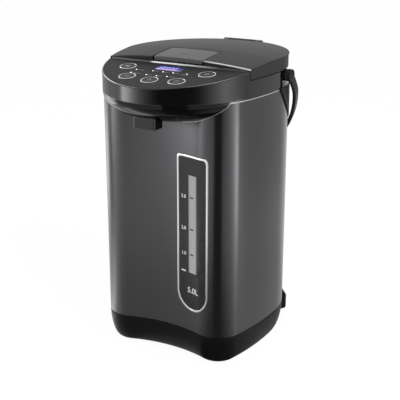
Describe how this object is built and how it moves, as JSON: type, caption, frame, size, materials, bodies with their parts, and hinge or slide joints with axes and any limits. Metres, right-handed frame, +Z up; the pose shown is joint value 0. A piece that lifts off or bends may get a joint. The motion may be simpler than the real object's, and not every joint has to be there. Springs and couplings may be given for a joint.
{
  "type": "electric thermo pot",
  "caption": "Electric thermo pot: brushed steel jacket with hollow front, nosed collar with sloping key panel, latched lid, pumped spout, level gauge and swinging handle.",
  "frame": {"origin": "centre of the object's box on the surface it stands on", "axes": "+Z up along the pot, -Y towards the spout and the key panel, +X to the right seen from the front"},
  "size_m": [0.2028, 0.2612, 0.3565],
  "materials": {
    "jacket_steel": "brushed, tinted dark",
    "base_plastic": "satin",
    "gloss_black": "gloss",
    "panel_plastic": "satin",
    "silver_trim": "satin chrome",
    "display_glass": "gloss",
    "lamp_lens": "frosted",
    "board_green": "satin",
    "switch_black": "satin",
    "window_clear": "gloss",
    "tube_clear": "gloss",
    "pale_plastic": "satin",
    "silicone": "satin",
    "bright_steel": "satin",
    "wool": "fibrous",
    "cast_alloy": "cast",
    "sensor_brass": "satin",
    "motor_steel": "satin",
    "screw_steel": "satin",
    "rubber": "matt",
    "lid_plastic": "fine grain",
    "latch_plastic": "fine grain",
    "bolt_plastic": "satin",
    "handle_plastic": "satin",
    "key_plastic": "satin"
  },
  "bodies": {
    "housing": {"outer_body": "jacket_steel", "base_ring": "base_plastic", "base_plate": "base_plastic", "rubber_feet": "rubber", "base_screws": "screw_steel", "collar": "gloss_black", "panel_fascia": "panel_plastic", "key_rings": "silver_trim", "display_window": "display_glass", "indicator_lenses": "lamp_lens", "control_board": "board_green", "tact_switches": "switch_black", "under_cover": "gloss_black", "spout_housing": "gloss_black", "spout_nozzle": "switch_black", "gauge_bezel": "silver_trim", "gauge_fascia": "panel_plastic", "gauge_lens": "window_clear", "gauge_tube": "tube_clear", "gauge_backing": "pale_plastic", "outlet_elbow": "silicone", "hose_clamps": "bright_steel", "inner_pot": "bright_steel", "mouth_ring": "bright_steel", "pot_gasket": "silicone", "insulation_sleeve": "wool", "heater_plate": "cast_alloy", "thermostats": "sensor_brass", "pot_brackets": "bright_steel", "intake_sleeve": "silicone", "pump_body": "pale_plastic", "pump_cover": "switch_black", "pump_screws": "screw_steel", "motor_can": "motor_steel", "outlet_hose": "silicone", "power_board": "board_green", "power_inlet": "base_plastic", "inlet_pins": "sensor_brass", "hinge_bracket": "gloss_black", "hinge_pin": "screw_steel", "hinge_screws": "screw_steel", "handle_pins": "handle_plastic"},
    "lid": {"lid_outer": "lid_plastic", "lid_inner": "bright_steel", "lid_gasket": "silicone", "lid_screws": "screw_steel", "steam_valve": "bolt_plastic", "latch_pin": "screw_steel", "latch_spring": "screw_steel"},
    "latch": {"latch_lever": "latch_plastic"},
    "bolt": {"latch_bolt": "bolt_plastic"},
    "bail": {"handle": "handle_plastic"},
    "key_unlock": {"unlock_key": "key_plastic"},
    "key_reboil": {"reboil_key": "key_plastic"},
    "key_dispense": {"dispense_key": "key_plastic"},
    "key_keep_warm": {"keep_warm_key": "key_plastic"},
    "key_power": {"power_key": "key_plastic"},
    "pump_wheel": {"impeller": "pale_plastic"},
    "motor_rotor": {"rotor": "motor_steel"}
  },
  "joints": [
    {"name": "lid_hinge", "type": "hinge", "parent": "housing", "child": "lid", "pos_m": [0, 0.11189, 0.345], "axis": [-1, 0, 0], "range_deg": [0, 95]},
    {"name": "latch_lift", "type": "hinge", "parent": "lid", "child": "latch", "pos_m": [0, -0.00811, 0.3523], "axis": [-1, 0, 0], "range_deg": [0, 18], "stiffness_Nm_per_rad": 0.02, "springref_deg": -5.73},
    {"name": "bolt_slide", "type": "slide", "parent": "lid", "child": "bolt", "axis": [0, 1, 0], "range_m": [0, 0.004]},
    {"name": "handle_swing", "type": "hinge", "parent": "housing", "child": "bail", "pos_m": [0, 0.04089, 0.327], "axis": [1, 0, 0], "range_deg": [0, 142]},
    {"name": "unlock_press", "type": "slide", "parent": "housing", "child": "key_unlock", "axis": [0, 0.1357, -0.9907], "range_m": [0, 0.0006], "stiffness_N_per_m": 800, "springref_m": -0.0005},
    {"name": "reboil_press", "type": "slide", "parent": "housing", "child": "key_reboil", "axis": [0, 0.1357, -0.9907], "range_m": [0, 0.0006], "stiffness_N_per_m": 800, "springref_m": -0.0005},
    {"name": "dispense_press", "type": "slide", "parent": "housing", "child": "key_dispense", "axis": [0, 0.1357, -0.9907], "range_m": [0, 0.0006], "stiffness_N_per_m": 800, "springref_m": -0.0005},
    {"name": "keep_warm_press", "type": "slide", "parent": "housing", "child": "key_keep_warm", "axis": [0, 0.1357, -0.9907], "range_m": [0, 0.0006], "stiffness_N_per_m": 800, "springref_m": -0.0005},
    {"name": "power_press", "type": "slide", "parent": "housing", "child": "key_power", "axis": [0, 0.1357, -0.9907], "range_m": [0, 0.0006], "stiffness_N_per_m": 800, "springref_m": -0.0005},
    {"name": "rotor_spin", "type": "hinge", "parent": "housing", "child": "motor_rotor", "pos_m": [0, 0.02089, 0.02], "axis": [0, 0, 1], "continuous": true},
    {"name": "impeller_spin", "type": "hinge", "parent": "housing", "child": "pump_wheel", "pos_m": [0, 0.02089, 0.045], "axis": [0, 0, 1], "continuous": true}
  ],
  "couplings": [
    {"joint": "bolt_slide", "follows": "latch_lift", "m_per_rad": 0.01273},
    {"joint": "impeller_spin", "follows": "rotor_spin", "ratio": 1}
  ]
}
